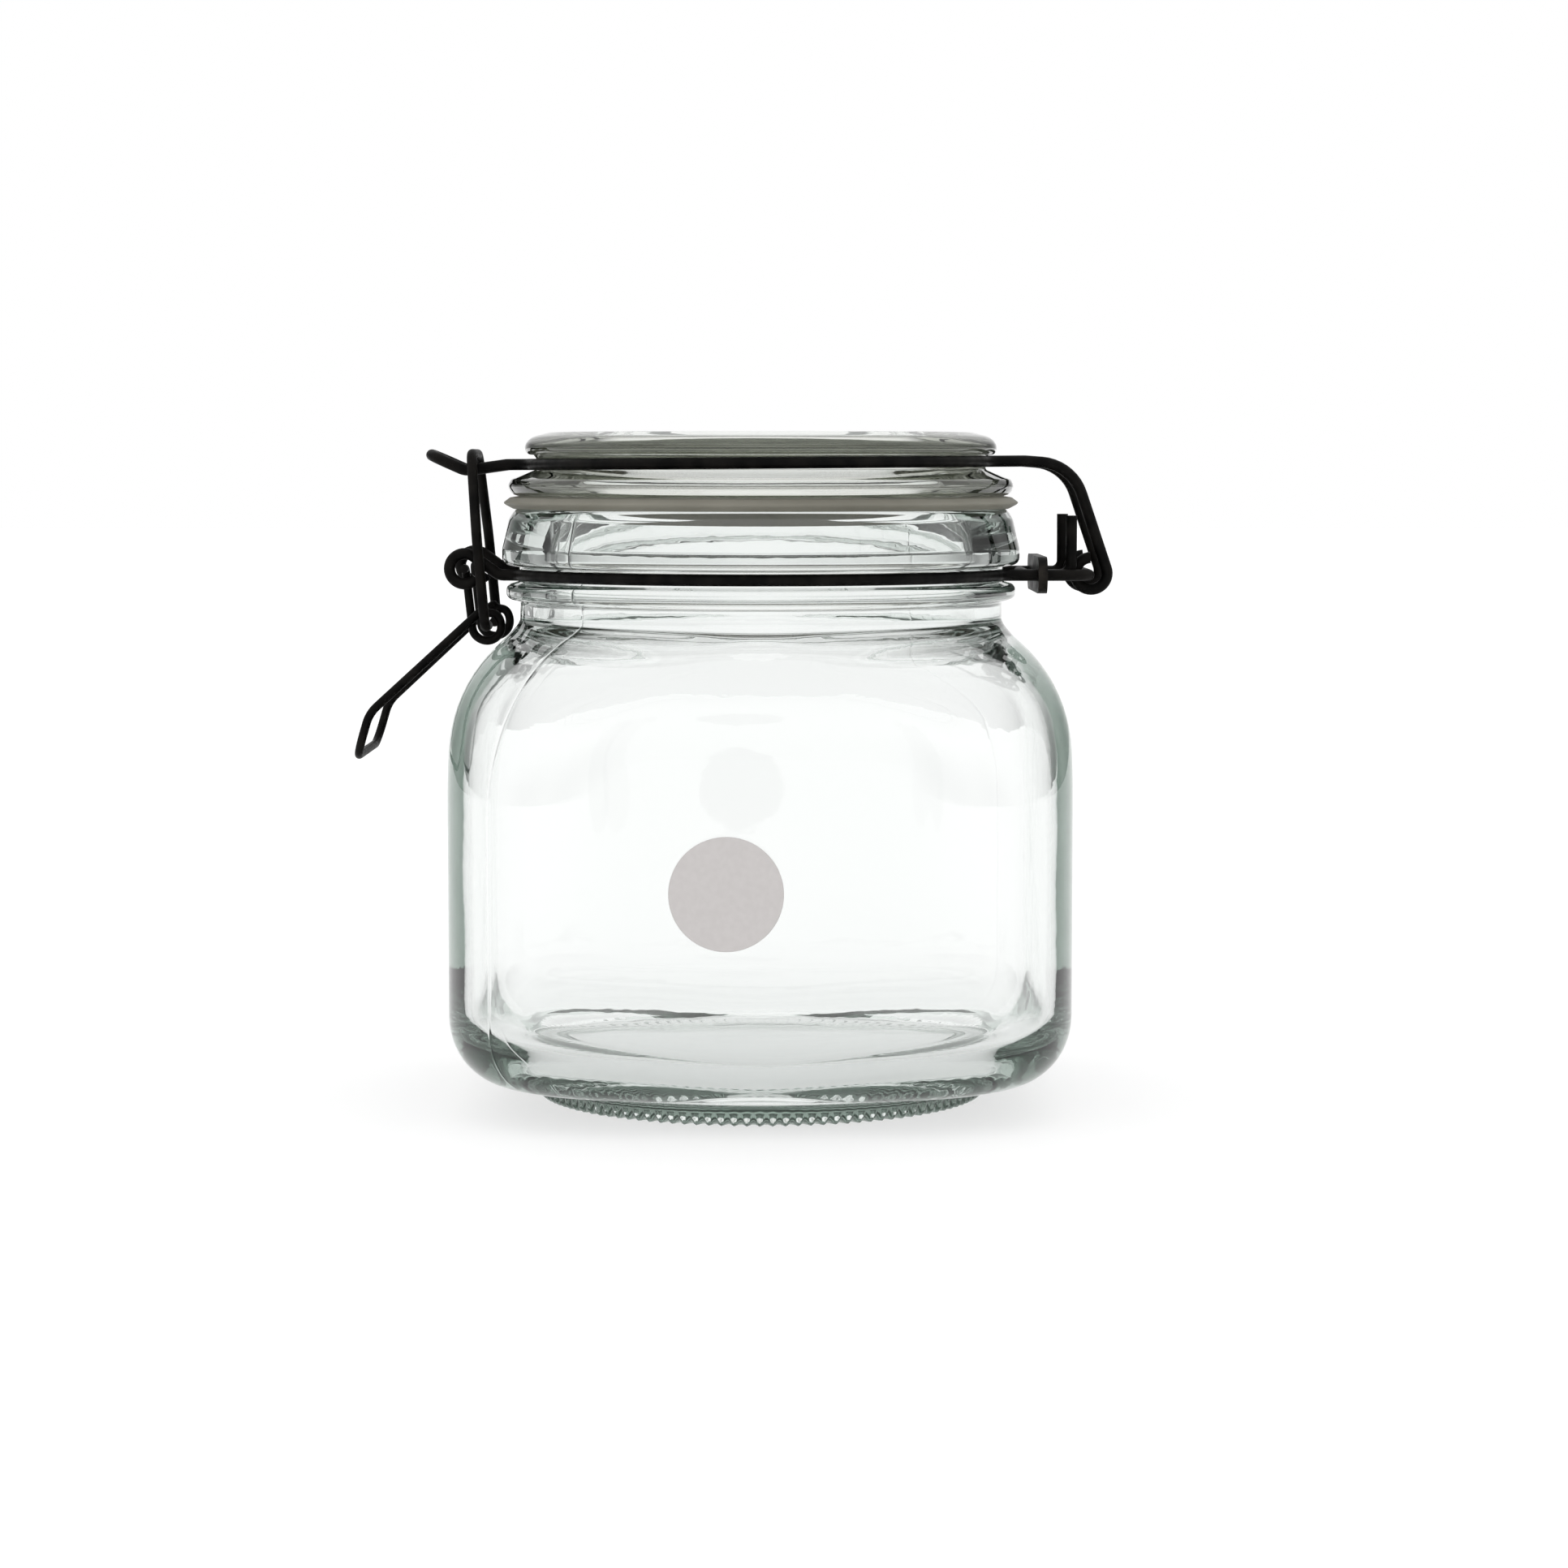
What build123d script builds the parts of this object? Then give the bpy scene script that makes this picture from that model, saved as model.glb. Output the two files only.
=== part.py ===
"""Bail clamp jar: glass jar and lid, sealing ring and a two-ring wire clamp with a lever latch.

Millimetres, +Z up. The origin is on the jar's axis, on the surface that it stands on.
-X is the latch side, +X the hinge side and -Y the front.
"""
import os
from math import acos, atan2, cos, degrees, hypot, pi, radians, sin, sqrt, tan

from build123d import *

os.makedirs("parts", exist_ok=True)

# --- glass jar: a rounded-square body under a round neck ---
BODY_HALF = 54.1            # half width across the flats
CORNER_R = 29.0             # plan radius of the body's upright corners
WALL = 3.3
FLOOR = 7.4                 # height of the inside floor
HEEL_R = 13.5               # rounding under the body
HEEL_Z = 4.0                # underside of the rounding
FOOT_R = 40.0
FOOT_IN_R = 34.5
PUNT_Z = 1.6                # height of the hollow inside the foot ring
SHOULDER_Z = 63.2           # the flats start to curve in
SHOULDER_R = 24.0
CORNER_SHOULDER_Z = 54.0    # the corners start to curve in lower down
CORNER_SHOULDER_R = 32.0
OUTSIDE_HEIGHTS = (54, 59, 64, 69, 73, 77, 80, 82.5, 84.5)      # sections that the shoulder is lofted through
INSIDE_HEIGHTS = (54, 59, 64, 69, 73, 76, 78.5, 80.5, 81.5)
LARGEST_CORNER = 0.98       # of the half width: a section never closes to a full circle
NECK_BASE_Z = 78.0          # the neck is sunk into the shoulder down to here
NECK_R = 42.9
NECK_TOP_Z = 87.4
BEAD_R = 45.3
BEAD_EDGE_R = 44.4
BEAD_Z = 90.1
BEAD_HALF_T = 1.5
GROOVE_R = 43.0             # the neck ring's wire lies in this groove
GROOVE_Z = 93.2
GROOVE_HALF_T = 1.3
COLLAR_EDGE = (45.2, 94.9)  # (radius, height) points up the collar's outside
COLLAR_WIDEST = (46.1, 96.2)
COLLAR_SIDE = (45.9, 98.0)
COLLAR_TOP = (44.7, 103.0)
RIM_CURVE = (44.3, 104.2)
RIM_R = 43.2                # outer edge of the flat rim
RIM_Z = 104.7
MOUTH_R = 38.2
MOUTH_BASE_Z = 76.0

# --- lid and sealing ring ---
GASKET_T = 2.2
FLANGE_Z = RIM_Z + GASKET_T
GASKET_LIP = (45.8, 105.9)  # the outer lip droops past the rim
GASKET_LIP_FOOT = (45.5, 105.5)
GASKET_TOP_R = 44.4
GASKET_FOOT_R = 44.2
GASKET_IN_R = 37.4
SKIRT_T = 0.55              # skirt between the lid's plug and the mouth
SKIRT_END_R = 36.0
SKIRT_END_Z = 101.3
FLANGE_R = 45.0
FLANGE_FOOT_R = 43.3
FLANGE_EDGE_Z = 108.6
FLANGE_TOP = (44.5, 109.8)
LID_TOP_Z = 118.2
DISC_R = 42.0
DISC_FOOT_R = 41.1
DISC_Z = 114.2
DISC_UNDER_CURVE = (41.8, 114.8)
DISC_EDGE_Z = 115.7
DISC_CURVE = (40.71, 117.51)
DISC_TOP_R = 38.6
LID_GROOVE_R = 39.9
LID_GROOVE_Z = 111.4
LID_SLOPE_END = (41.5, 110.9)
PLUG_R = 37.2               # where the plug enters the mouth
PLUG_END_R = 35.6           # tapered, so that it swings clear of the rim
PLUG_Z = 101.0
LID_HOLLOW_R = 33.0
LID_HOLLOW_Z = 113.0
LID_HOLLOW_CORNER_R = 3.0

# --- wires ---
RING_WIRE_R = 1.0
LATCH_WIRE_R = 0.9          # draw link
LEVER_WIRE_R = 0.75
FLARE_R = 3.0               # bend where a ring's wire turns outwards
EPS = 0.05                  # air between a wire and the glass that it lies on

LID_RING_R = LID_GROOVE_R + RING_WIRE_R + EPS
LID_RING_Z = 112.8
LID_RING_TILT = 0.4         # degrees: the ring is drawn down on the latch side
NOSE_Y = 4.2                # half width of the pull tab, to the wire's centre
NOSE_X, NOSE_Z = -52.3, 111.45
NOSE_START_X = -45.0
TAB_X, TAB_Z = -58.5, 114.2
TAB_RADII = (3.6, 3.0, 4.0)
ARM_Y = 8.8                 # the two hinge arms
ARM_START_X = 46.5
ARM_X, ARM_TOP_Z = 54.7, 112.5
ARM_RADII = (10.0, 8.0)
HINGE_X = 57.6              # the hinge bar, at the neck ring's height
HINGE_EYE = (58.2, 93.4)
HINGE_EYE_R = 2.8
HINGE_EYE_TURN = 285        # degrees

NECK_RING_R = GROOVE_R + RING_WIRE_R + EPS
LEG_Y = 13.2                # the two legs that carry the hinge bar
LEG_BEND_R = 2.3
GUIDE_Y = 11.1              # guide wire, between the legs and the lid ring's arms
GUIDE_X = 54.5
GUIDE_BACK_X = 46.6
GUIDE_TOP_Z = 103.6
GUIDE_RADII = (2.0, 1.8)
CLIP_X = 48.5
CLIP_T = 1.6
CLIP_HALF_Y = 16.2
CLIP_HALF_Z = 3.2
CLIP_PLAY = 0.03            # round the wires in the clip's slots

# --- latch: pivots seen along Y ---
PIVOT_A = (-51.9, 94.3)     # lever on the neck ring's eyes
PIVOT_B = (-48.2, 84.2)     # draw link in the lever's coils
EYE_R = 2.65                # eyes of the neck ring, to the wire's centre
EYE_TURN = 268              # degrees
EYE_BEND_X = 1.2            # from the flare's end to the bend below the eye
EYE_BEND_R = 2.5
COIL_R = 2.6                # eyes of the lever
COIL_STEPS = 8
EYE_Y = 11.9                # plane of the neck ring's eyes
STUB_Y = 13.2               # ends of the lever, outside the eyes
STRAP_Y = 9.7               # plane of the lever's straps
HANDLE_Y = 11.6             # plane of the lever's handle wires
STRAP_BEND_R = 1.2
TIP_Y = 17.0                # the handle's wires spread towards the finger loop
TIP_BEND = (-68.3, 69.2)
TIP_END = (-70.5, 61.7)
TIP_RADII = (6.0, 4.0)
LINK_Y = 14.3
LINK_END_Y = 8.2            # ends of the link, inside the lever's coils
LINK_TOP_Y = 8.0
LINK_SPREAD = 0.1           # the link's legs are a little closer halfway up
LINK_RADII = (1.4, 12.0, 3.6)
CROWN = (-50.9, 114.35)

# --- paper label ---
LABEL_R = 9.6
LABEL_X, LABEL_Z = -5.5, 41.5
LABEL_T = 0.15


# --- helpers ---

def unit(v):
    return v * (1.0 / v.length)


def rounded(points, radii):
    """Edges of a path through the points, with an arc of the given radius at each inner one."""
    points = [Vector(*p) for p in points]
    edges, start = [], points[0]
    for before, corner, after, radius in zip(points, points[1:], points[2:], radii):
        back, ahead = unit(before - corner), unit(after - corner)
        half = radians(back.get_angle(ahead)) / 2
        reach = radius / tan(half)
        first, last = corner + back * reach, corner + ahead * reach
        centre = corner + unit(back + ahead) * (radius / sin(half))
        middle = centre + unit(corner - centre) * radius
        edges.append(Edge.make_line(start, first))
        edges.append(Edge.make_three_point_arc(first, middle, last))
        start = last
    edges.append(Edge.make_line(start, points[-1]))
    return edges


def on_circle(centre, radius, deg, y):
    """Point of a circle in an upright plane at Y; the angle runs from +X towards +Z."""
    return Vector(centre[0] + radius * cos(radians(deg)), y, centre[1] + radius * sin(radians(deg)))


def arc_about(centre, radius, start, end, y):
    middle = (start + end) / 2
    return Edge.make_three_point_arc(*[on_circle(centre, radius, a, y) for a in (start, middle, end)])


def tangent_angle(centre, radius, point, side):
    """Where a straight wire from the point (x, z) meets the circle; side is +1 or -1."""
    dx, dz = point[0] - centre[0], point[1] - centre[1]
    return degrees(atan2(dz, dx)) + side * degrees(acos(radius / hypot(dx, dz)))


def wire_solid(edges, radius):
    """Round wire swept along joined edges."""
    path = Wire(edges)
    section = Plane(origin=path @ 0, z_dir=path % 0) * Circle(radius)
    return sweep(section, path=path)


def both_sides(half):
    """The wire's front half and its mirror image behind the XZ plane."""
    return half + half.mirror(Plane.XZ)


def flare(ring_r, line_y, bend_r):
    """A ring's wire turning outwards to run along X at |Y| = line_y.

    Gives the ring's last point, the bend's middle and the straight run's first point, for +X and -Y.
    """
    centre = Vector(sqrt((ring_r + bend_r) ** 2 - (line_y + bend_r) ** 2), -(line_y + bend_r))
    leaves = centre * (ring_r / (ring_r + bend_r))
    straight = Vector(centre.X, -line_y)
    middle = centre + unit(unit(leaves - centre) + unit(straight - centre)) * bend_r
    return leaves, middle, straight


def ring_with_flares(ring_r, latch_y, hinge_y, bend_r, place):
    """Front half of a ring, from its straight run on the latch side to the one on the hinge side."""
    on_latch = [Vector(-p.X, p.Y) for p in flare(ring_r, latch_y, bend_r)]
    on_hinge = flare(ring_r, hinge_y, bend_r)
    runs = ((on_latch[2], on_latch[1], on_latch[0]), (on_latch[0], Vector(0, -ring_r), on_hinge[0]), on_hinge)
    return [Edge.make_three_point_arc(*[place(p) for p in run]) for run in runs]


def revolved(edges):
    """Solid of revolution about Z from an outline in the XZ plane."""
    return revolve(make_face(Wire(edges)), Axis.Z)


def corner_line(*points):
    """Straight outline edges through (r, z) points."""
    ends = [Vector(r, 0, z) for r, z in points]
    return [Edge.make_line(a, b) for a, b in zip(ends, ends[1:])]


def corner_arc(start, middle, end):
    return [Edge.make_three_point_arc(*[Vector(r, 0, z) for r, z in (start, middle, end)])]


# --- glass ---

def body_section(z, inset):
    """Rounded square at height z in the shoulder; the corners close in sooner than the flats."""
    rise, corner_rise = max(z - SHOULDER_Z, 0), z - CORNER_SHOULDER_Z
    half = BODY_HALF - SHOULDER_R + sqrt((SHOULDER_R - inset) ** 2 - rise ** 2)
    corner = BODY_HALF * sqrt(2) - CORNER_R * (sqrt(2) - 1)
    corner += sqrt((CORNER_SHOULDER_R - inset) ** 2 - corner_rise ** 2) - CORNER_SHOULDER_R
    radius = min((half * sqrt(2) - corner) / (sqrt(2) - 1), LARGEST_CORNER * half)
    return Plane.XY.offset(z) * RectangleRounded(2 * half, 2 * half, radius)


def body_solid(inset, bottom_z, heel_r, heights):
    """The body's outside, or its inside when inset by the wall."""
    side = 2 * (BODY_HALF - inset)
    plan = Plane.XY.offset(bottom_z) * RectangleRounded(side, side, CORNER_R - inset)
    straight = extrude(plan, CORNER_SHOULDER_Z - bottom_z)
    straight = fillet(straight.faces().sort_by(Axis.Z)[0].edges(), heel_r)
    return straight + loft([body_section(z, inset) for z in heights])


def neck_solid():
    bead_low, bead_high = (BEAD_EDGE_R, BEAD_Z - BEAD_HALF_T), (BEAD_EDGE_R, BEAD_Z + BEAD_HALF_T)
    outline = corner_line((0, NECK_BASE_Z), (NECK_R, NECK_BASE_Z), (NECK_R, NECK_TOP_Z), bead_low)
    outline += corner_arc(bead_low, (BEAD_R, BEAD_Z), bead_high)
    outline += corner_line(bead_high, (GROOVE_R, GROOVE_Z - GROOVE_HALF_T), (GROOVE_R, GROOVE_Z + GROOVE_HALF_T),
                           COLLAR_EDGE)
    outline += corner_arc(COLLAR_EDGE, COLLAR_WIDEST, COLLAR_SIDE)
    outline += corner_line(COLLAR_SIDE, COLLAR_TOP)
    outline += corner_arc(COLLAR_TOP, RIM_CURVE, (RIM_R, RIM_Z))
    outline += corner_line((RIM_R, RIM_Z), (0, RIM_Z), (0, NECK_BASE_Z))
    return revolved(outline)


def glass_jar():
    outside = body_solid(0, HEEL_Z, HEEL_R, OUTSIDE_HEIGHTS)
    foot = Cylinder(FOOT_R, 2 * HEEL_Z, align=(Align.CENTER, Align.CENTER, Align.MIN))
    punt = Cylinder(FOOT_IN_R, 2 * PUNT_Z)
    inside = body_solid(WALL, FLOOR, HEEL_R - WALL, INSIDE_HEIGHTS)
    mouth = Plane.XY.offset(MOUTH_BASE_Z) * Cylinder(MOUTH_R, RIM_Z, align=(Align.CENTER, Align.CENTER, Align.MIN))
    return outside + foot + neck_solid() - punt - inside - mouth


def glass_lid():
    corner = LID_HOLLOW_CORNER_R
    eased = corner * (1 - 1 / sqrt(2))
    outline = corner_line((0, LID_HOLLOW_Z), (LID_HOLLOW_R - corner, LID_HOLLOW_Z))
    outline += corner_arc((LID_HOLLOW_R - corner, LID_HOLLOW_Z), (LID_HOLLOW_R - eased, LID_HOLLOW_Z - eased),
                          (LID_HOLLOW_R, LID_HOLLOW_Z - corner))
    outline += corner_line((LID_HOLLOW_R, LID_HOLLOW_Z - corner), (LID_HOLLOW_R, PLUG_Z), (PLUG_END_R, PLUG_Z),
                           (PLUG_R, RIM_Z), (PLUG_R, FLANGE_Z), (FLANGE_FOOT_R, FLANGE_Z))
    outline += corner_arc((FLANGE_FOOT_R, FLANGE_Z), (FLANGE_R, FLANGE_EDGE_Z), FLANGE_TOP)
    outline += corner_line(FLANGE_TOP, LID_SLOPE_END, (LID_GROOVE_R, LID_GROOVE_Z), (LID_GROOVE_R, DISC_Z),
                           (DISC_FOOT_R, DISC_Z))
    outline += corner_arc((DISC_FOOT_R, DISC_Z), DISC_UNDER_CURVE, (DISC_R, DISC_EDGE_Z))
    outline += corner_arc((DISC_R, DISC_EDGE_Z), DISC_CURVE, (DISC_TOP_R, LID_TOP_Z))
    outline += corner_line((DISC_TOP_R, LID_TOP_Z), (0, LID_TOP_Z), (0, LID_HOLLOW_Z))
    return revolved(outline)


def gasket():
    """Flat ring with a drooping outer lip and a thin skirt down inside the mouth."""
    return revolved(corner_line((GASKET_IN_R, FLANGE_Z), (GASKET_TOP_R, FLANGE_Z), GASKET_LIP,
                                GASKET_LIP_FOOT, (GASKET_FOOT_R, RIM_Z), (GASKET_IN_R + SKIRT_T, RIM_Z),
                                (SKIRT_END_R + SKIRT_T, SKIRT_END_Z), (SKIRT_END_R, SKIRT_END_Z),
                                (GASKET_IN_R, RIM_Z), (GASKET_IN_R, FLANGE_Z)))


def label():
    disc = Cylinder(LABEL_R, LABEL_T, rotation=(90, 0, 0))
    return Pos(LABEL_X, -BODY_HALF - LABEL_T / 2, LABEL_Z) * disc


# --- wires ---

def lid_ring_wire():
    """Ring in the lid's groove, with a pull tab over the latch and two arms to the hinge bar."""
    def place(p):
        tilt = radians(LID_RING_TILT)
        return Vector(p.X * cos(tilt), p.Y, LID_RING_Z + p.X * sin(tilt))
    ring = ring_with_flares(LID_RING_R, NOSE_Y, ARM_Y, FLARE_R, place)
    start, end = ring[0] @ 0, ring[-1] @ 1
    before = place(Vector(NOSE_START_X, -NOSE_Y))
    tab = rounded([(TAB_X, 0, TAB_Z), (TAB_X, -NOSE_Y, TAB_Z), (NOSE_X, -NOSE_Y, NOSE_Z), before, start],
                  TAB_RADII)
    after = place(Vector(ARM_START_X, -ARM_Y))
    meets = tangent_angle(HINGE_EYE, HINGE_EYE_R, (ARM_X, ARM_TOP_Z), -1)
    arm = rounded([end, after, (ARM_X, -ARM_Y, ARM_TOP_Z), on_circle(HINGE_EYE, HINGE_EYE_R, meets, -ARM_Y)],
                  ARM_RADII)
    hook = arc_about(HINGE_EYE, HINGE_EYE_R, meets, meets - HINGE_EYE_TURN, -ARM_Y)
    return both_sides(wire_solid(tab + ring + arm + [hook], RING_WIRE_R))


def neck_ring_wire():
    """Ring in the neck groove: eyes for the lever at one side, legs and a hinge bar at the other."""
    ring = ring_with_flares(NECK_RING_R, EYE_Y, LEG_Y, FLARE_R, lambda p: Vector(p.X, p.Y, GROOVE_Z))
    start, end = ring[0] @ 0, ring[-1] @ 1
    bend = (start.X - EYE_BEND_X, -EYE_Y, GROOVE_Z)
    meets = tangent_angle(PIVOT_A, EYE_R, (bend[0], bend[2]), 1)
    eye = arc_about(PIVOT_A, EYE_R, meets + EYE_TURN, meets, -EYE_Y)
    arm = rounded([on_circle(PIVOT_A, EYE_R, meets, -EYE_Y), bend, start], [EYE_BEND_R])
    leg = rounded([end, (HINGE_X, -LEG_Y, GROOVE_Z), (HINGE_X, 0, GROOVE_Z)], [LEG_BEND_R])
    return both_sides(wire_solid([eye] + arm + ring + leg, RING_WIRE_R))


def guide_wire():
    """U of wire held by the clip; its two ends stand up beside the lid ring's arms."""
    half = rounded([(GUIDE_X, -GUIDE_Y, GUIDE_TOP_Z), (GUIDE_X, -GUIDE_Y, GROOVE_Z),
                    (GUIDE_BACK_X, -GUIDE_Y, GROOVE_Z), (GUIDE_BACK_X, 0, GROOVE_Z)], GUIDE_RADII)
    return both_sides(wire_solid(half, RING_WIRE_R))


def hinge_clip():
    """Flat plate that gathers the legs and the guide wire beside the neck."""
    face = Plane.YZ.offset(CLIP_X)
    plate = face * Pos(0, GROOVE_Z) * RectangleRounded(2 * CLIP_HALF_Y, 2 * CLIP_HALF_Z, CLIP_HALF_Z - CLIP_PLAY)
    slot_r = RING_WIRE_R + CLIP_PLAY
    slot = SlotOverall(LEG_Y - GUIDE_Y + 2 * slot_r, 2 * slot_r)
    for side in (-1, 1):
        plate -= face * Pos(side * (LEG_Y + GUIDE_Y) / 2, GROOVE_Z) * slot
    return extrude(plate, CLIP_T)


def coil(centre, radius, start, end, y_start, y_end, end_dir):
    """One turn of wire that also steps sideways by its own thickness."""
    points = []
    for i in range(COIL_STEPS + 1):
        part = i / COIL_STEPS
        eased = (1 - cos(pi * part)) / 2
        y = y_start + (y_end - y_start) * eased
        points.append(on_circle(centre, radius, start + (end - start) * part, y))
    first = radians(start)
    return Edge.make_spline(points, tangents=[Vector(-sin(first), 0, cos(first)), end_dir])


def latch_lever():
    """One wire: ends in the neck ring's eyes, straps, coils for the link, and the finger loop."""
    enters = tangent_angle(PIVOT_B, COIL_R, PIVOT_A, 1)
    leaves = tangent_angle(PIVOT_B, COIL_R, TIP_BEND, -1) % 360 + 360
    stub = (PIVOT_A[0], -STUB_Y, PIVOT_A[1])
    corner = (PIVOT_A[0], -STRAP_Y, PIVOT_A[1])
    strap = rounded([stub, corner, on_circle(PIVOT_B, COIL_R, enters, -STRAP_Y)], [STRAP_BEND_R])
    exit_point = on_circle(PIVOT_B, COIL_R, leaves, -HANDLE_Y)
    bend = Vector(TIP_BEND[0], -TIP_Y, TIP_BEND[1])
    turn = coil(PIVOT_B, COIL_R, enters, leaves, -STRAP_Y, -HANDLE_Y, unit(bend - exit_point))
    handle = rounded([exit_point, bend, (TIP_END[0], -TIP_Y, TIP_END[1]), (TIP_END[0], 0, TIP_END[1])],
                     TIP_RADII)
    return both_sides(wire_solid(strap + [turn] + handle, LEVER_WIRE_R))


def draw_link():
    """Wire loop from the lever's coils up over the lid ring's tab."""
    def along(part, y):
        return (PIVOT_B[0] + part * (CROWN[0] - PIVOT_B[0]), -y, PIVOT_B[1] + part * (CROWN[1] - PIVOT_B[1]))
    half = rounded([along(0, LINK_END_Y), along(0, LINK_Y), along(0.5, LINK_Y - LINK_SPREAD), along(1, LINK_TOP_Y),
                    along(1, 0)], LINK_RADII)
    return both_sides(wire_solid(half, LATCH_WIRE_R))


PIECES = (glass_jar, glass_lid, gasket, lid_ring_wire, neck_ring_wire, guide_wire, hinge_clip,
          latch_lever, draw_link, label)

if __name__ == "__main__":
    for piece in PIECES:
        export_step(piece(), f"parts/{piece.__name__}.step")
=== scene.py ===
"""Bail clamp jar: the looks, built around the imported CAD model.

Metres, +Z up, front towards -Y. Outlines, radii and heights are in millimetres until ring() scales them.
"""
import math

import bmesh
import bpy
import numpy as np
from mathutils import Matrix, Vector


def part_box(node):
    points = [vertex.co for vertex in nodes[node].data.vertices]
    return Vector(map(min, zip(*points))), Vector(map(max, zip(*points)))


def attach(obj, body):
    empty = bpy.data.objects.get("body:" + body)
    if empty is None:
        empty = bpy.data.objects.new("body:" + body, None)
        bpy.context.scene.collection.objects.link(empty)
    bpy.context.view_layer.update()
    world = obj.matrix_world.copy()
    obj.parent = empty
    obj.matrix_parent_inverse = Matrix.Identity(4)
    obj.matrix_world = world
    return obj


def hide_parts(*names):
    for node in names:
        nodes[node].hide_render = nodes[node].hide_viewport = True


MM = 0.001
FULL_TURN = 2 * math.pi

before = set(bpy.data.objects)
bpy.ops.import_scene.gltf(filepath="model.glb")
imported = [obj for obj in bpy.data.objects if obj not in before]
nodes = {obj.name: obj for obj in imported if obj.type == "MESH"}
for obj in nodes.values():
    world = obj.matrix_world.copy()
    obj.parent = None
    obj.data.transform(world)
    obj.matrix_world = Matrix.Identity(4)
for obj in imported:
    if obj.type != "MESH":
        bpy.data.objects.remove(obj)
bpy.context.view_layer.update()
scene = bpy.context.scene
scene.view_settings.view_transform = "Standard"

# --- sizes read from the frame ---
jar_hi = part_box("glass_jar")[1]
lid_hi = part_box("glass_lid")[1]
ring_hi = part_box("gasket")[1]
label_lo, label_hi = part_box("label")
BODY_HALF = jar_hi.x / MM
RIM_Z = jar_hi.z / MM
LID_TOP = lid_hi.z / MM
LIP_R = ring_hi.x / MM

# --- glass ---
GLASS_IOR = 1.5
GLASS_DENSITY = 90.0        # absorption per metre, before the colour
WAVES = 38                  # noise scales: slow waves from the mould, and finer ripples
RIPPLES = 160
RIPPLE_SHARE = 0.12         # of the waves' height

# --- studio ---
PANEL, SLIM_PANEL, GAP, CEILING = 1.03, 0.35, 0.1, 1.14     # how bright its parts are
PANELS = 4.0
PANEL_EDGE, SLIM_EDGE = 1.5, 8.0        # powers: larger is narrower
CEILING_FROM, CEILING_FULL = 0.12, 0.5  # sine of the height angle
FLOOR_HALF = 6.0
FLOOR_GREY = 0.45
FLOOR_GLOW = 0.6
CAMERA_PLACE = (0.0041, -0.700, 0.113)
CAMERA_DOWN = 4.7          # degrees below level
LENS, SENSOR = 90.0, 36.0


# ---------------------------------------------------------------- materials

def new_material(name):
    material = bpy.data.materials.new(name)
    material.use_nodes = True
    tree = material.node_tree
    return material, tree, tree.nodes["Principled BSDF"]


def add_node(tree, kind, **inputs):
    node = tree.nodes.new(kind)
    for key, value in inputs.items():
        node.inputs[key.replace("_", " ")].default_value = value
    return node


def object_coordinates(tree):
    return tree.nodes.new("ShaderNodeTexCoord").outputs["Object"]


def noise(tree, scale, detail=2.0, stretch=(1, 1, 1)):
    """Noise in object space; stretch above 1 squeezes it along that axis."""
    mapping = add_node(tree, "ShaderNodeMapping", Scale=stretch)
    tree.links.new(object_coordinates(tree), mapping.inputs["Vector"])
    texture = add_node(tree, "ShaderNodeTexNoise", Scale=scale, Detail=detail)
    tree.links.new(mapping.outputs["Vector"], texture.inputs["Vector"])
    return texture.outputs["Fac"]


def bump(tree, shader, height, strength, distance, before=None):
    """Bump that can follow an earlier one; gives its own normal."""
    node = add_node(tree, "ShaderNodeBump", Strength=strength, Distance=distance)
    tree.links.new(height, node.inputs["Height"])
    if before:
        tree.links.new(before, node.inputs["Normal"])
    tree.links.new(node.outputs["Normal"], shader.inputs["Normal"])
    return node.outputs["Normal"]


def ramp(tree, factor, *stops):
    node = tree.nodes.new("ShaderNodeValToRGB")
    elements = node.color_ramp.elements
    for element, (position, colour) in zip(elements, stops):
        element.position = position
        element.color = (*colour, 1)
    tree.links.new(factor, node.inputs["Fac"])
    return node.outputs["Color"]


def glass_material(name, absorb, wave_mm):
    """Pressed glass: slow waves from the mould, finer ripples, and a tint that grows with thickness."""
    material, tree, shader = new_material(name)
    shader.inputs["Base Color"].default_value = (1, 1, 1, 1)
    shader.inputs["Transmission Weight"].default_value = 1.0
    shader.inputs["Roughness"].default_value = 0.0
    shader.inputs["IOR"].default_value = GLASS_IOR
    waves = bump(tree, shader, noise(tree, WAVES, 1.0, (1, 1, 1.6)), 1.0, wave_mm * MM)
    ripples = noise(tree, RIPPLES, 2.0, (1, 1, 2.5))
    bump(tree, shader, ripples, 1.0, RIPPLE_SHARE * wave_mm * MM, waves)
    volume = add_node(tree, "ShaderNodeVolumeAbsorption", Color=(*absorb, 1), Density=GLASS_DENSITY)
    tree.links.new(volume.outputs["Volume"], tree.nodes["Material Output"].inputs["Volume"])
    return material


def wire_material(name, dark, worn, roughness):
    """Satin black coating on metal: faint drawing marks, dust and rubbed patches."""
    material, tree, shader = new_material(name)
    patches = noise(tree, 240, 6.0)
    tree.links.new(ramp(tree, patches, (0.42, dark), (0.7, worn)), shader.inputs["Base Color"])
    smooth, dusty = (roughness - 0.08,) * 3, (roughness + 0.12,) * 3
    rough = ramp(tree, noise(tree, 500, 3.0), (0.3, smooth), (0.7, dusty))
    tree.links.new(rough, shader.inputs["Roughness"])
    shader.inputs["Specular IOR Level"].default_value = 0.06
    marks = bump(tree, shader, noise(tree, 1800, 3.0), 0.5, 0.03 * MM)
    bump(tree, shader, noise(tree, 420, 2.0), 0.5, 0.08 * MM, marks)
    return material


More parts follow.
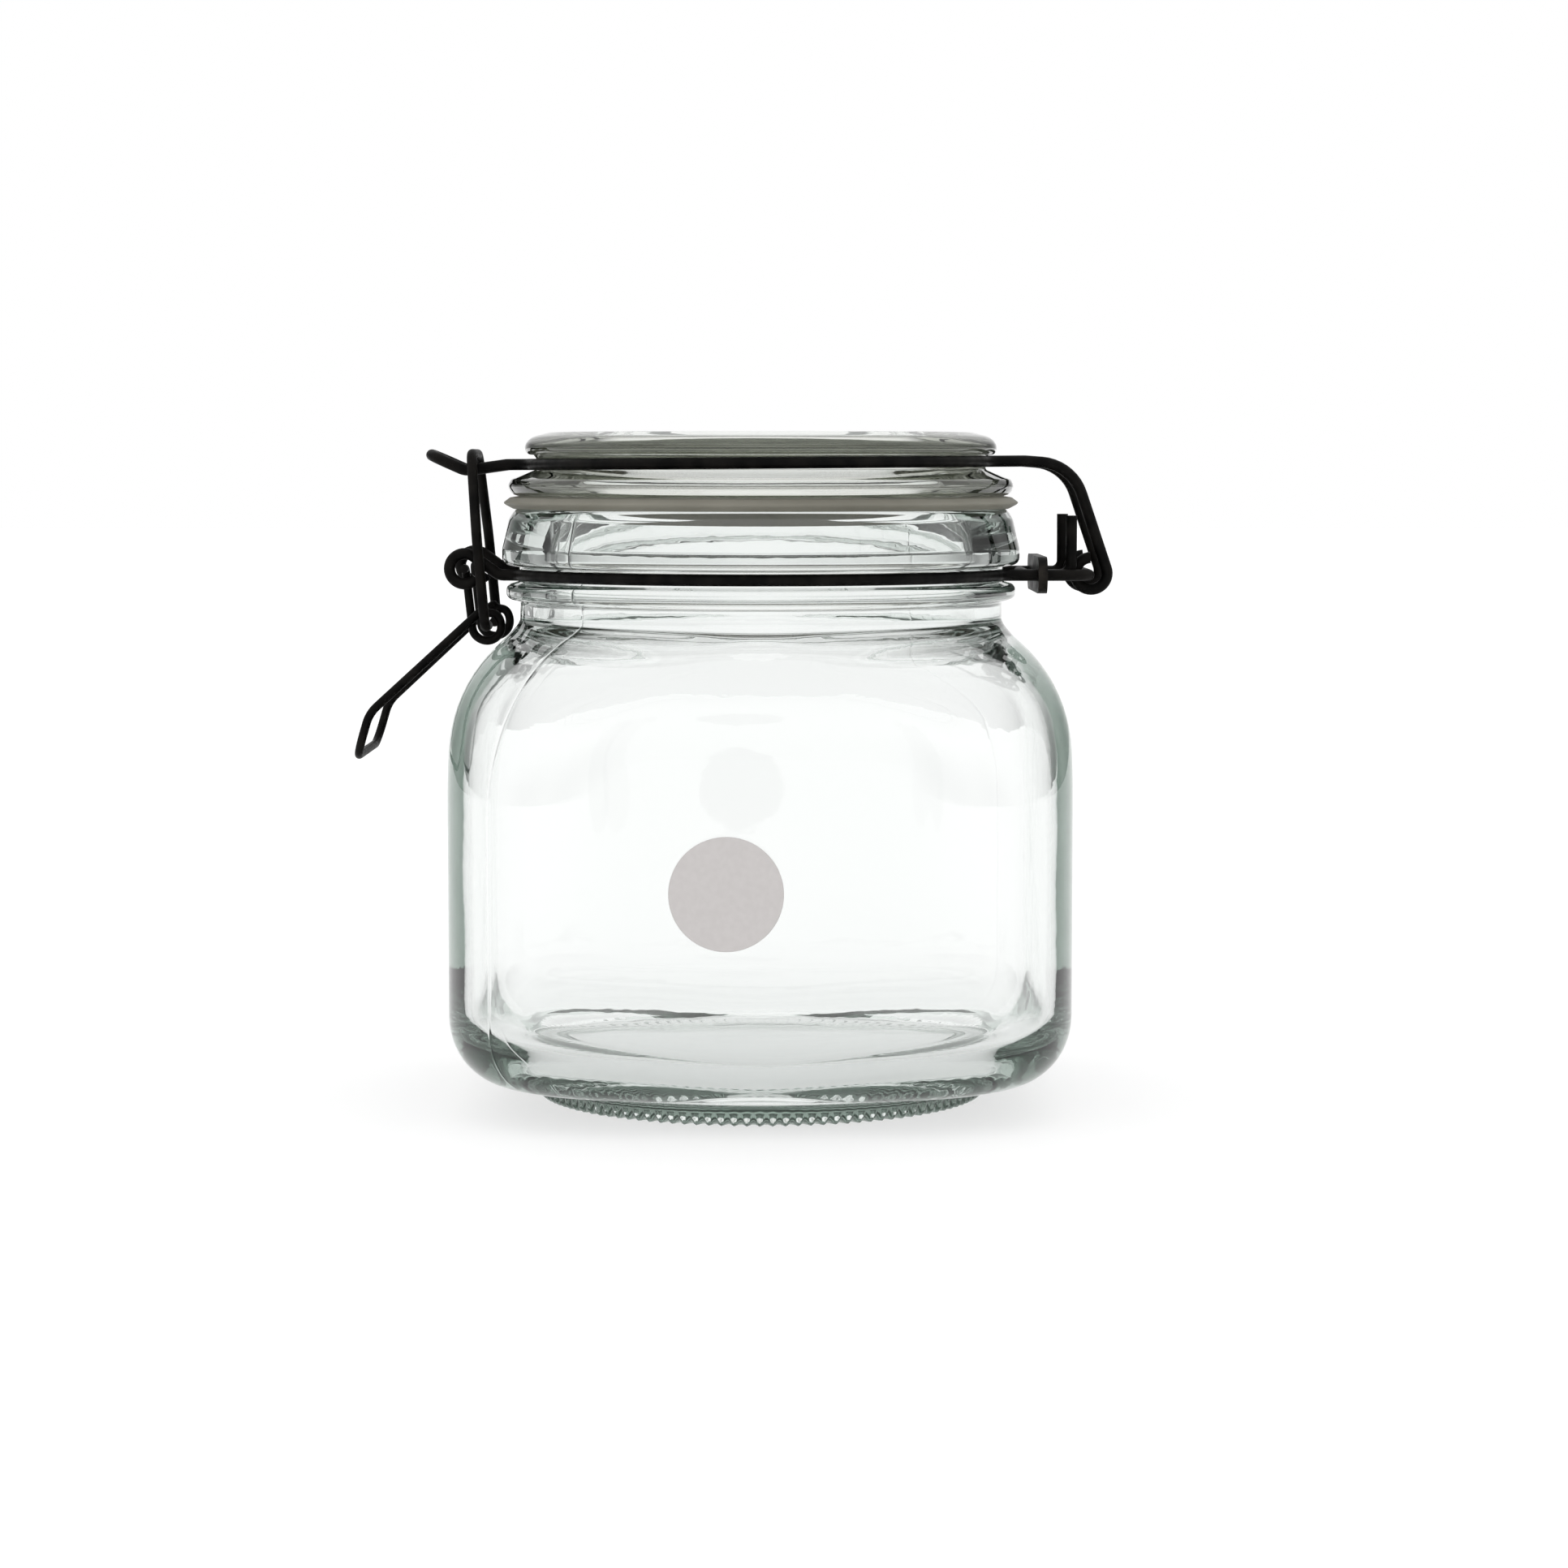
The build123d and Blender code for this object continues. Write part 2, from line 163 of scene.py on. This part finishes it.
def rubber_material():
    material, tree, shader = new_material("seal_rubber")
    clouds = noise(tree, 60, 4.0, (1, 1, 3))
    colour = ramp(tree, clouds, (0.3, (0.17, 0.163, 0.13)), (0.7, (0.24, 0.23, 0.19)))
    tree.links.new(colour, shader.inputs["Base Color"])
    shader.inputs["Roughness"].default_value = 0.6
    shader.inputs["Subsurface Weight"].default_value = 0.15
    shader.inputs["Subsurface Radius"].default_value = (0.0012, 0.001, 0.0008)
    fine = bump(tree, shader, noise(tree, 1500, 3.0), 0.6, 0.05 * MM)
    bump(tree, shader, noise(tree, 200, 2.0, (1, 1, 4)), 0.4, 0.15 * MM, fine)
    return material


def paper_material():
    """Plain sticker: a coated, faintly mottled face, its grey partly its own and partly painted shade, and a
    white back against the glass.
    """
    white_from, white_full = 0.08 * MM, 0.12 * MM       # depth behind the face
    material, tree, shader = new_material("label_paper")
    mottle = noise(tree, 900, 5.0)
    # face colour: partly the paper's own grey, partly painted shade for the dimmer light in front of the jar
    face_with_painted_shade = ramp(tree, mottle, (0.35, (0.585, 0.558, 0.55)), (0.65, (0.61, 0.583, 0.575)))
    split = tree.nodes.new("ShaderNodeSeparateXYZ")
    tree.links.new(object_coordinates(tree), split.inputs[0])
    depth = add_node(tree, "ShaderNodeMapRange", From_Min=label_lo.y + white_from,
                     From_Max=label_lo.y + white_full)
    tree.links.new(split.outputs["Y"], depth.inputs["Value"])
    mix = tree.nodes.new("ShaderNodeMix")
    mix.data_type = "RGBA"
    tree.links.new(depth.outputs["Result"], mix.inputs["Factor"])
    tree.links.new(face_with_painted_shade, mix.inputs[6])
    mix.inputs[7].default_value = (0.95, 0.95, 0.95, 1)
    tree.links.new(mix.outputs[2], shader.inputs["Base Color"])
    shader.inputs["Roughness"].default_value = 0.45
    bump(tree, shader, noise(tree, 1400, 3.0), 0.4, 0.02 * MM)
    return material


JAR_TINT, LID_TINT = (0.805, 0.838, 0.82), (0.79, 0.80, 0.77)
BLACK, RUBBED = (0.002, 0.0019, 0.0018), (0.009, 0.008, 0.007)
CLIP_BLACK, CLIP_RUBBED = (0.004, 0.0038, 0.0035), (0.03, 0.026, 0.022)

JAR_GLASS = glass_material("jar_glass", JAR_TINT, 0.10)
LID_GLASS = glass_material("lid_glass", LID_TINT, 0.14)
WIRE = wire_material("black_wire", BLACK, RUBBED, 0.46)
CLIP_METAL = wire_material("clip_metal", CLIP_BLACK, CLIP_RUBBED, 0.42)
RUBBER = rubber_material()
PAPER = paper_material()


# ---------------------------------------------------------------- mesh helpers

def make_object(name, mesh, material, body, node):
    """A visible piece that rides a body and stands for one CAD node."""
    piece = bpy.data.objects.new(name, mesh)
    scene.collection.objects.link(piece)
    mesh.materials.append(material)
    mesh.polygons.foreach_set("use_smooth", [True] * len(mesh.polygons))
    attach(piece, body)
    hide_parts(node)


def skin(name, rows):
    """Mesh through rings of points. A ring has one point, or as many as the last, twice as many or half."""
    points, faces, starts = [], [], []
    for row in rows:
        starts.append(len(points))
        points.extend(row)
    for (a, upper), (b, lower) in zip(zip(starts, rows), zip(starts[1:], rows[1:])):
        n, m = len(upper), len(lower)
        if m == 1:
            faces += [(a + i, b, a + (i + 1) % n) for i in range(n)]
        elif n == 1:
            faces += [(a, b + i, b + (i + 1) % m) for i in range(m)]
        elif n == m:
            faces += [(a + i, b + i, b + (i + 1) % n, a + (i + 1) % n) for i in range(n)]
        elif m == 2 * n:
            for i in range(n):
                j, k = 2 * i, (2 * i + 2) % m
                faces += [(a + i, b + j, b + j + 1), (a + i, b + j + 1, a + (i + 1) % n),
                          (a + (i + 1) % n, b + j + 1, b + k)]
        else:
            for i in range(m):
                j, k = 2 * i, (2 * i + 2) % n
                faces += [(b + i, a + j + 1, a + j), (b + i, b + (i + 1) % m, a + j + 1),
                          (b + (i + 1) % m, a + k, a + j + 1)]
    mesh = bpy.data.meshes.new(name)
    mesh.from_pydata([tuple(p) for p in points], [], faces)
    work = bmesh.new()
    work.from_mesh(mesh)
    bmesh.ops.recalc_face_normals(work, faces=work.faces)
    work.to_mesh(mesh)
    work.free()
    return mesh


def rounded_profile(corners, steps=5):
    """Points along an outline (r, z, radius), with each inner corner rounded to its radius."""
    largest_share = 0.49        # of the runs beside a corner that its rounding may take up
    done = [Vector(corners[0][:2])]
    for before, here, after in zip(corners, corners[1:], corners[2:]):
        corner, radius = Vector(here[:2]), here[2]
        back = Vector(before[:2]) - corner
        ahead = Vector(after[:2]) - corner
        half = back.angle(ahead) / 2
        reach = 0
        if radius:
            reach = min(radius / math.tan(half), largest_share * back.length, largest_share * ahead.length)
        if reach < 1e-4:
            done.append(corner)
            continue
        radius = reach * math.tan(half)
        middle = (back.normalized() + ahead.normalized()).normalized()
        centre = corner + middle * (radius / math.sin(half))
        first = corner + back.normalized() * reach - centre
        last = corner + ahead.normalized() * reach - centre
        turn = first.angle_signed(last)
        for i in range(steps + 1):
            a = -turn * i / steps
            done.append(centre + Vector((first.x * math.cos(a) - first.y * math.sin(a),
                                         first.x * math.sin(a) + first.y * math.cos(a))))
    done.append(Vector(corners[-1][:2]))
    return done


def with_runs_split(points, longest):
    """The same outline with long straight runs cut up, so that the mesh is even."""
    out = [points[0]]
    for a, b in zip(points, points[1:]):
        parts = max(1, math.ceil((b - a).length / longest))
        out += [a.lerp(b, (i + 1) / parts) for i in range(parts)]
    return out


def ring(angles, radius, z):
    """Points round the axis, one for each angle; radius and height may vary with the angle."""
    r = np.broadcast_to(radius, angles.shape)
    height = np.broadcast_to(z, angles.shape)
    return np.stack([r * np.cos(angles), r * np.sin(angles), height], axis=1) * MM


# ---------------------------------------------------------------- the jar

CORNER_R, HEEL_R, HEEL_Z = 29.0, 13.5, 4.0
SHOULDER_Z, SHOULDER_R = 63.2, 24.0
CORNER_SHOULDER_Z, CORNER_SHOULDER_R = 54.0, 32.0
WALL, FLOOR_Z, NECK_R, MOUTH_R = 3.3, 7.4, 42.9, 38.2
BEAD_R, GROOVE_R, COLLAR_R = 45.3, 43.0, 46.05
OUTER_FILLET, INNER_FILLET = 3.6, 8.0   # where the shoulder meets the neck
FLOOR_R = 41.8              # the inside floor is round, in a square body
CORNER_LIFT = 1.5           # the heel sits higher at the corners
INNER_TIGHTER = 2.2         # the inside corners are tighter than the wall alone would make them
TIGHTER_FADE = 12.0         # height over which that ends, under the neck
NECK_START_Z = 84.0
MOUTH_ONLY_Z = 83.0         # above this the body no longer shapes the inside
PUNT_Z = 1.6
COLUMNS = 280
EASE_SPREAD, EASE_SIGMA = 7, 3.2        # degrees over which the flats flow into the corners

# foot: (radius, height) up its inside, then (radius, height, depth of its bumps) round its outside
PUNT_RINGS = (6, 14, 22, 29)
FOOT_INSIDE = ((33.4, PUNT_Z), (34.2, 1.35), (34.8, 0.6), (35.6, 0.1), (36.6, 0.0))
FOOT_BUMPS = ((37.6, 0.0, 0.2), (38.6, 0.0, 0.7), (39.4, 0.12, 1.0), (40.0, 0.6, 1.0), (40.25, 1.3, 0.8),
              (40.3, 2.2, 0.4), (40.4, 3.2, 0.1))
BUMPS = 112
BUMP_IN, BUMP_UP = 0.45, 0.6
NECK_RUN, FLOOR_RUN = 1.2, 6      # longest straight run in an outline

# heel: its arc starts just short of level, and the lowest rows carry the foot's finer columns
HEEL_START, HEEL_ROWS, FINE_HEEL_ROWS, PLAIN_HEEL_ROWS = -88, 17, 2, 5
INNER_HEEL_START, INNER_HEEL_ROWS = -84, 15
INNER_HEEL_EXTRA = 1.0      # the inside heel is rounder than the wall alone would make it
INNER_HEEL_RISE = 0.7
FLOOR_BLEND = 1.5           # power: how late the square heel turns round

# heights of the body's rows
STRAIGHT_ZS = np.linspace(19.5, CORNER_SHOULDER_Z, 12)
SHOULDER_ZS = np.concatenate([np.linspace(56, 78, 13), np.linspace(79, 87.2, 16)])
INNER_NECK_ZS = np.concatenate([np.linspace(94.5, 88, 5), np.linspace(87, 77, 18)])
INNER_BODY_ZS = np.concatenate([np.linspace(75.5, 56, 13), np.linspace(54, 22, 9)])

NECK_OUTLINE = ((NECK_R, 87.5, 0), (NECK_R, 88.3, 0.9), (BEAD_R, 88.9, 1.1), (BEAD_R, 91.3, 1.1),
                (GROOVE_R, 91.9, 0.5), (GROOVE_R, 94.4, 0.7), (COLLAR_R, 95.0, 1.3), (COLLAR_R, 97.6, 3.0),
                (44.8, 102.9, 2.5), (43.7, 104.7, 1.4), (MOUTH_R + 1.2, 104.7, 0.8), (MOUTH_R, 103.6, 1.0),
                (MOUTH_R, 96.0, 0))
FLOOR_OUTLINE = ((FLOOR_R - 0.2, FLOOR_Z + 0.7, 0), (FLOOR_R - 1.2, FLOOR_Z, 1.2), (20.0, FLOOR_Z - 0.3, 5),
                 (0.6, FLOOR_Z - 0.4, 0))

# mould joints, on two opposite corners
SEAM_ANGLES = (math.radians(45), math.radians(225))
SEAM_HEIGHT, NECK_SEAM_HEIGHT, SEAM_WIDTH = 0.07, 0.11, 0.2
SEAM_COLUMNS = (-0.5, -0.28, -0.14, 0, 0.14, 0.28, 0.5)     # degrees
SEAM_CLEAR = 0.62                                           # degrees kept free of even columns
HEEL_SEAM_R, BODY_SEAM_R, SHOULDER_SEAM_R, NECK_SEAM_R = 56, 60, 50, 45     # the glass's rough radius there
NECK_OUTSIDE_R, NECK_SEAM_TOP = 42, 104


def column_angles():
    """Even columns, with a few more beside each mould joint to carry its thin ridge."""
    angles = [FULL_TURN * i / COLUMNS for i in range(COLUMNS)]
    for seam in SEAM_ANGLES:
        angles = [a for a in angles if abs(a - seam) > math.radians(SEAM_CLEAR)]
        angles += [seam + math.radians(d) for d in SEAM_COLUMNS]
    return np.array(sorted(angles))


ANGLES = column_angles()
FINE_ANGLES = np.sort(np.concatenate([ANGLES, (ANGLES + np.append(ANGLES[1:], ANGLES[0] + FULL_TURN)) / 2]))


def square_radius(angles, half, corner):
    """Polar radius of a rounded square."""
    a = np.abs((angles + math.pi / 4) % (math.pi / 2) - math.pi / 4)
    c = half - corner
    flat = half / np.cos(a)
    mid = c * (np.cos(a) + np.sin(a))
    arc = mid + np.sqrt(np.maximum(mid ** 2 - 2 * c * c + corner ** 2, 0))
    return np.where(half * np.tan(a) <= c, flat, arc)


def eased_square(angles, half, corner):
    """The same, averaged over nearby angles so that the flats flow into the corners."""
    spread = np.radians(np.linspace(-EASE_SPREAD, EASE_SPREAD, 9))
    weight = np.exp(-0.5 * (spread / math.radians(EASE_SIGMA)) ** 2)

    def average(at):
        return sum(w * square_radius(at + s, half, corner) for s, w in zip(spread, weight)) / weight.sum()

    return average(angles) * half / average(np.zeros(1))[0]


def shoulder(z, inset):
    """Half width and corner radius of the body at height z."""
    rise, corner_rise = max(z - SHOULDER_Z, 0), max(z - CORNER_SHOULDER_Z, 0)
    half = BODY_HALF - SHOULDER_R + math.sqrt(max((SHOULDER_R - inset) ** 2 - rise ** 2, 1))
    corner = BODY_HALF * math.sqrt(2) - CORNER_R * (math.sqrt(2) - 1) - CORNER_SHOULDER_R
    corner += math.sqrt(max((CORNER_SHOULDER_R - inset) ** 2 - corner_rise ** 2, 1))
    return half, min((half * math.sqrt(2) - corner) / (math.sqrt(2) - 1), half)


def body_radius(z, inset):
    """Outside (inset 0) or inside (inset WALL) of the body at height z, straight part and shoulder."""
    half, corner = shoulder(z, inset)
    if inset:
        corner -= INNER_TIGHTER * min(max((NECK_START_Z - z) / TIGHTER_FADE, 0), 1)
    return eased_square(ANGLES, half, corner)


def soft_max(a, b, blend):
    """The larger of two radii, with a fillet where they cross."""
    h = np.clip(0.5 + 0.5 * (a - b) / blend, 0, 1)
    return b * (1 - h) + a * h + blend * h * (1 - h)


def seam_ridge(angles, radius, height=SEAM_HEIGHT):
    """Thin raised line that the two mould halves leave."""
    ridge = np.zeros_like(angles)
    for seam in SEAM_ANGLES:
        across = np.abs((angles - seam + math.pi) % FULL_TURN - math.pi) * radius
        ridge += height * np.exp(-(across / SEAM_WIDTH) ** 2)
    return ridge


def corner_lift(angles, share):
    return CORNER_LIFT * share * np.sin(2 * angles) ** 2


def foot_rows():
    """From the middle of the base, over the hollow and the bumpy foot."""
    tooth = 0.5 - 0.5 * np.cos(BUMPS * FINE_ANGLES)
    rows = [np.array([[0, 0, PUNT_Z * MM]])]
    rows += [ring(ANGLES, r, PUNT_Z) for r in PUNT_RINGS]
    rows += [ring(FINE_ANGLES, r, z) for r, z in FOOT_INSIDE]
    rows += [ring(FINE_ANGLES, r - BUMP_IN * depth * tooth, z + BUMP_UP * depth * tooth)
             for r, z, depth in FOOT_BUMPS]
    return rows


def heel_rows():
    rows = []
    for i, degrees in enumerate(np.linspace(HEEL_START, 0, HEEL_ROWS)):
        inset = HEEL_R * (1 - math.cos(math.radians(degrees)))
        z = HEEL_Z + HEEL_R + HEEL_R * math.sin(math.radians(degrees))
        angles = FINE_ANGLES if i < FINE_HEEL_ROWS else ANGLES
        radius = eased_square(angles, BODY_HALF - inset, CORNER_R - inset)
        ridge = seam_ridge(angles, HEEL_SEAM_R) if i >= PLAIN_HEEL_ROWS else 0
        rows.append(ring(angles, radius + ridge, z + corner_lift(angles, (degrees / HEEL_START) ** 2)))
    return rows


def outer_rows():
    """From the middle of the base up the outside, over the rim and down into the mouth."""
    rows = foot_rows() + heel_rows()
    for z in STRAIGHT_ZS:
        rows.append(ring(ANGLES, body_radius(z, 0) + seam_ridge(ANGLES, BODY_SEAM_R), z))
    for z in SHOULDER_ZS:
        radius = soft_max(body_radius(z, 0), NECK_R, OUTER_FILLET)
        rows.append(ring(ANGLES, radius + seam_ridge(ANGLES, SHOULDER_SEAM_R), z))
    for p in with_runs_split(rounded_profile(NECK_OUTLINE), NECK_RUN):
        outside = p.x > NECK_OUTSIDE_R and p.y < NECK_SEAM_TOP
        ridge = seam_ridge(ANGLES, NECK_SEAM_R, NECK_SEAM_HEIGHT) if outside else 0
        rows.append(ring(ANGLES, p.x + ridge, p.y))
    return rows


def inner_rows():
    """From inside the mouth, down the wall and over the inside floor to its middle."""
    rows = []
    for z in INNER_NECK_ZS:
        radius = body_radius(z, WALL) if z < MOUTH_ONLY_Z else 0.0
        rows.append(ring(ANGLES, soft_max(radius, MOUTH_R, INNER_FILLET), z))
    rows += [ring(ANGLES, body_radius(z, WALL), z) for z in INNER_BODY_ZS]
    heel = HEEL_R - WALL + INNER_HEEL_EXTRA
    for degrees in np.linspace(0, INNER_HEEL_START, INNER_HEEL_ROWS):
        inset = heel * (1 - math.cos(math.radians(degrees)))
        z = FLOOR_Z + INNER_HEEL_RISE + heel + heel * math.sin(math.radians(degrees))
        share = (degrees / INNER_HEEL_START) ** 2
        square = eased_square(ANGLES, BODY_HALF - WALL - inset, CORNER_R - WALL - INNER_TIGHTER - inset)
        radius = square + (FLOOR_R - square) * share ** FLOOR_BLEND
        rows.append(ring(ANGLES, radius, z + corner_lift(ANGLES, share) * (1 - share)))
    rows += [ring(ANGLES, p.x, p.y) for p in with_runs_split(rounded_profile(FLOOR_OUTLINE), FLOOR_RUN)]
    rows.append(np.array([[0, 0, FLOOR_OUTLINE[-1][1] * MM]]))
    return rows


make_object("jar_glass_body", skin("jar_glass_body", outer_rows() + inner_rows()), JAR_GLASS, "jar",
            "glass_jar")


# ---------------------------------------------------------------- lid and gasket

# outlines (radius, height, rounding): the lid's from the middle of its top, over the disc, wire groove,
# flange and plug to the hollow under it
LID_OUTLINE = ((0, LID_TOP - 0.25, 0), (26, LID_TOP - 0.22, 20), (34.5, LID_TOP - 0.05, 8), (37.6, LID_TOP, 3),
               (40.9, LID_TOP - 0.9, 3), (42.0, 115.9, 1.6), (41.7, 114.3, 1.0), (40.4, 114.15, 0.4),
               (39.95, 113.7, 0.4), (39.95, 111.6, 0.6), (41.5, 111.0, 1.0), (44.4, 109.9, 0.9),
               (45.0, 108.7, 1.2), (44.3, 107.3, 0.9), (43.1, 106.95, 0.4), (37.3, 106.93, 0.3),
               (37.2, 104.4, 0.6), (36.3, 102.8, 0.7), (34.6, 102.6, 0.7), (33.2, 103.0, 0.9),
               (32.6, 110.0, 2.5), (29.0, 113.0, 3.0), (12, 113.3, 8), (0, 113.3, 0))
SINK = 0.03                 # the gasket goes this far into the rim, so that it shows through the glass
GASKET_OUTLINE = ((37.42, RIM_Z + 1.0, 0), (37.42, RIM_Z + 2.19, 0.1), (43.4, RIM_Z + 2.19, 1.5),
                  (44.6, RIM_Z + 2.0, 0.8), (LIP_R, RIM_Z + 1.1, 0.35), (LIP_R - 0.35, RIM_Z + 0.75, 0.3),
                  (44.0, RIM_Z - SINK, 1.0), (43.6, RIM_Z - SINK, 0.2), (37.97, RIM_Z - SINK, 0.2),
                  (36.6, 101.35, 0.2), (36.05, 101.35, 0.2), (37.42, RIM_Z, 0.4), (37.42, RIM_Z + 1.0, 0))


def revolved(name, outline, longest, columns, wobble):
    """Solid of revolution from an outline, slightly out of round; ends on the axis close to a point."""
    angles = np.linspace(0, FULL_TURN, columns, endpoint=False)
    rows = []
    for p in with_runs_split(rounded_profile(outline), longest):
        if p.x < 1e-6:
            rows.append(np.array([[0, 0, p.y * MM]]))
        else:
            wave = wobble * (np.sin(3 * angles + 0.15 * p.y) + 0.6 * np.sin(7 * angles + 1.0))
            rows.append(ring(angles, p.x + wave, p.y))
    return skin(name, rows)


make_object("lid_glass_disc", revolved("lid_glass_disc", LID_OUTLINE, 2.0, 256, 0.03), LID_GLASS, "lid",
            "glass_lid")
make_object("gasket_ring", revolved("gasket_ring", GASKET_OUTLINE, 1.0, 224, 0.02), RUBBER, "lid",
            "gasket")


# ---------------------------------------------------------------- label

LABEL_COLUMNS = 96
LABEL_MIDDLE_Y, LABEL_BACK_Y = 0.06, 0.147      # behind the frontmost point
LABEL_RINGS = ((0.3, LABEL_MIDDLE_Y), (0.6, 0.05), (0.85, 0.03), (0.97, 0.02), (0.995, 0.05), (1.0, 0.1),
               (0.99, LABEL_BACK_Y))            # (share of the radius, depth)


def label_mesh():
    """Round sticker with a rolled edge, on the front of the glass."""
    cx, cz = (label_lo.x + label_hi.x) / 2 / MM, (label_lo.z + label_hi.z) / 2 / MM
    front = label_lo.y / MM
    radius = (label_hi.x - label_lo.x) / 2 / MM
    angles = np.linspace(0, FULL_TURN, LABEL_COLUMNS, endpoint=False)
    rows = [np.array([[cx, front + LABEL_MIDDLE_Y, cz]]) * MM]
    for r, y in LABEL_RINGS:
        rows.append(np.stack([cx + r * radius * np.cos(angles), np.full_like(angles, front + y),
                              cz + r * radius * np.sin(angles)], axis=1) * MM)
    rows.append(np.array([[cx, front + LABEL_BACK_Y, cz]]) * MM)
    return skin("label_sticker", rows)


make_object("label_sticker", label_mesh(), PAPER, "jar", "label")


# ---------------------------------------------------------------- wires: the CAD nodes with their finish

def finish_node(name, material):
    for place in nodes[name].material_slots:
        place.material = material


for wire in ("lid_ring_wire", "neck_ring_wire", "guide_wire", "latch_lever", "draw_link"):
    finish_node(wire, WIRE)
finish_node("hinge_clip", CLIP_METAL)


# ---------------------------------------------------------------- studio

def make_floor():
    """White ground that gives off some light of its own, so that it is pale under the glass."""
    mesh = bpy.data.meshes.new("studio_floor")
    s = FLOOR_HALF
    mesh.from_pydata([(-s, -s, 0), (s, -s, 0), (s, s, 0), (-s, s, 0)], [], [(0, 1, 2, 3)])
    floor = bpy.data.objects.new("studio_floor", mesh)
    scene.collection.objects.link(floor)
    material, _, shader = new_material("studio_floor")
    shader.inputs["Base Color"].default_value = (FLOOR_GREY, FLOOR_GREY, FLOOR_GREY, 1)
    shader.inputs["Emission Color"].default_value = (1, 1, 1, 1)
    shader.inputs["Emission Strength"].default_value = FLOOR_GLOW
    shader.inputs["Roughness"].default_value = 0.9
    shader.inputs["Specular IOR Level"].default_value = 0.1
    mesh.materials.append(material)


def make_world():
    """Four soft panels with slim ones on the diagonals between them, and a bright ceiling.

    The dark gaps draw the edges of the glass. The camera itself sees plain white.
    """
    world = bpy.data.worlds.new("studio")
    world.use_nodes = True
    scene.world = world
    tree = world.node_tree
    background = tree.nodes["Background"]
    background.inputs["Color"].default_value = (1, 1, 1, 1)

    def feed(sockets, values):
        for socket, value in zip(sockets, values):
            if isinstance(value, (int, float)):
                socket.default_value = value
            else:
                tree.links.new(value, socket)

    def maths(operation, *values):
        node = tree.nodes.new("ShaderNodeMath")
        node.operation = operation
        feed(node.inputs, values)
        return node.outputs[0]

    def blend(factor, a, b):
        node = tree.nodes.new("ShaderNodeMix")
        feed((node.inputs[0], node.inputs[2], node.inputs[3]), (factor, a, b))
        return node.outputs[0]

    coordinates = tree.nodes.new("ShaderNodeTexCoord")
    split = tree.nodes.new("ShaderNodeSeparateXYZ")
    tree.links.new(coordinates.outputs["Generated"], split.inputs[0])
    x, y, z = split.outputs
    turn = maths("MULTIPLY", maths("ARCTAN2", x, y), PANELS)
    facing = maths("MULTIPLY_ADD", maths("COSINE", turn), 0.5, 0.5)
    main = maths("MULTIPLY_ADD", maths("POWER", facing, PANEL_EDGE), PANEL - GAP, GAP)
    slim = maths("POWER", maths("SUBTRACT", 1.0, facing), SLIM_EDGE)
    panels = maths("MULTIPLY_ADD", slim, SLIM_PANEL, main)
    up = ramp(tree, z, (CEILING_FROM, (0, 0, 0)), (CEILING_FULL, (1, 1, 1)))
    light = blend(up, panels, CEILING)
    path = tree.nodes.new("ShaderNodeLightPath")
    tree.links.new(blend(path.outputs["Is Camera Ray"], light, 1.0), background.inputs["Strength"])


def make_camera():
    data = bpy.data.cameras.new("camera")
    data.lens = LENS
    data.sensor_width = SENSOR
    camera = bpy.data.objects.new("camera", data)
    scene.collection.objects.link(camera)
    camera.location = CAMERA_PLACE
    camera.rotation_euler = (math.radians(90 - CAMERA_DOWN), 0, 0)
    scene.camera = camera


make_floor()
make_world()
make_camera()
# light runs along inside the glass walls: with few bounces their edges come out nearly black
scene.cycles.glossy_bounces = 32
scene.cycles.transmission_bounces = 24
scene.cycles.max_bounces = 40
scene.cycles.transparent_max_bounces = 16
